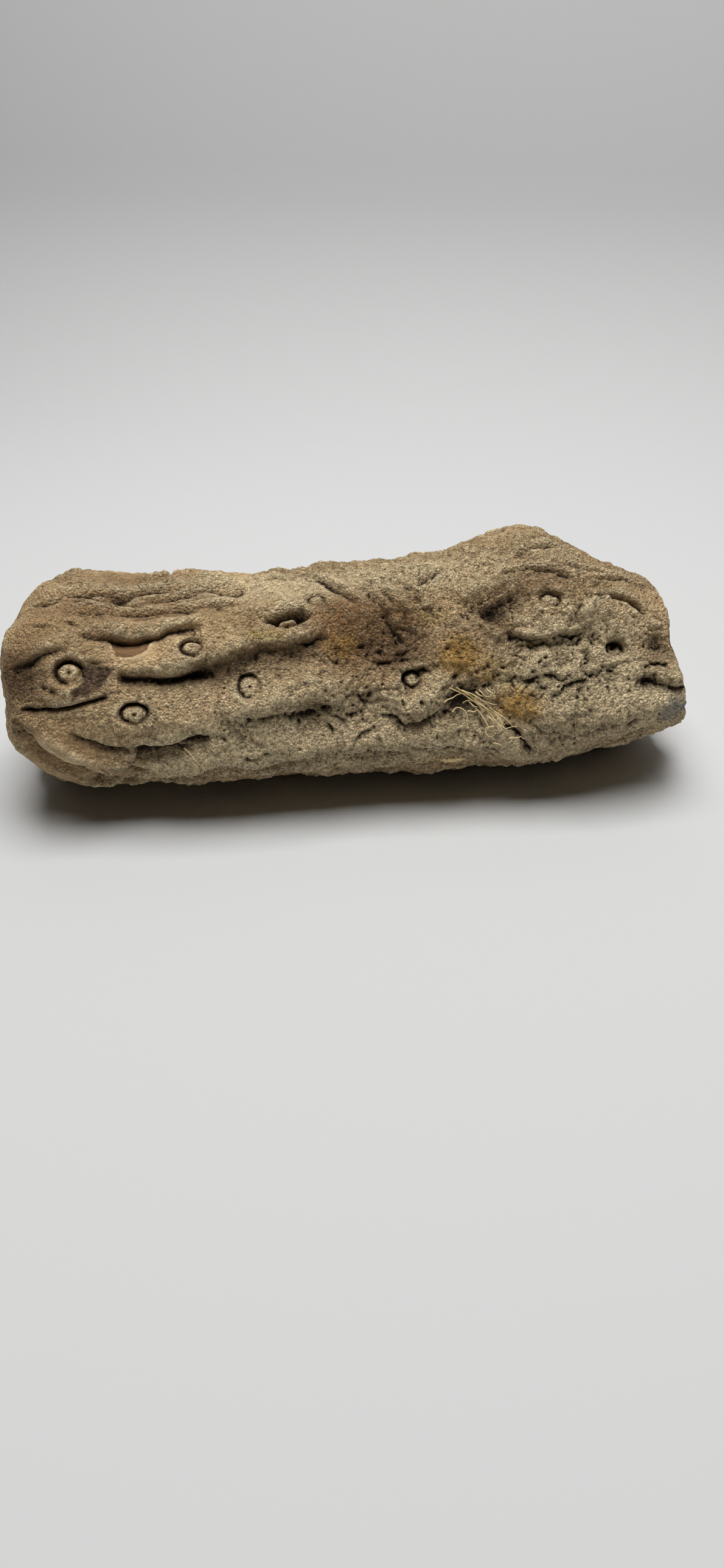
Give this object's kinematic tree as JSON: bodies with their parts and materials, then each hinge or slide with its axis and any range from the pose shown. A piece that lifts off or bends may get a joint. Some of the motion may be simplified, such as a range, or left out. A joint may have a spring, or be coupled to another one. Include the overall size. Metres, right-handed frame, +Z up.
{
  "type": "fossil lycopod root",
  "caption": "Log-shaped sandstone cast of a lycopod root with ringed rootlet scars, folds and broken ends, lying on its worn flat underside.",
  "frame": {"origin": "on the plane the fossil rests on, under the middle of its bounding box", "axes": "+Z up, X along the root with its thicker, knuckled end towards +X, -Y the side with the clearest scars"},
  "size_m": [0.1953, 0.0762, 0.0657],
  "materials": {
    "sandstone": "rough, dry, grainy and dirt-stained",
    "dry_plant_fibre": "matte straw-coloured fibres"
  },
  "bodies": {
    "root": {"fossil_root": "sandstone", "dried_rootlets": "dry_plant_fibre", "dried_moss_tuft": "dry_plant_fibre"}
  },
  "joints": []
}
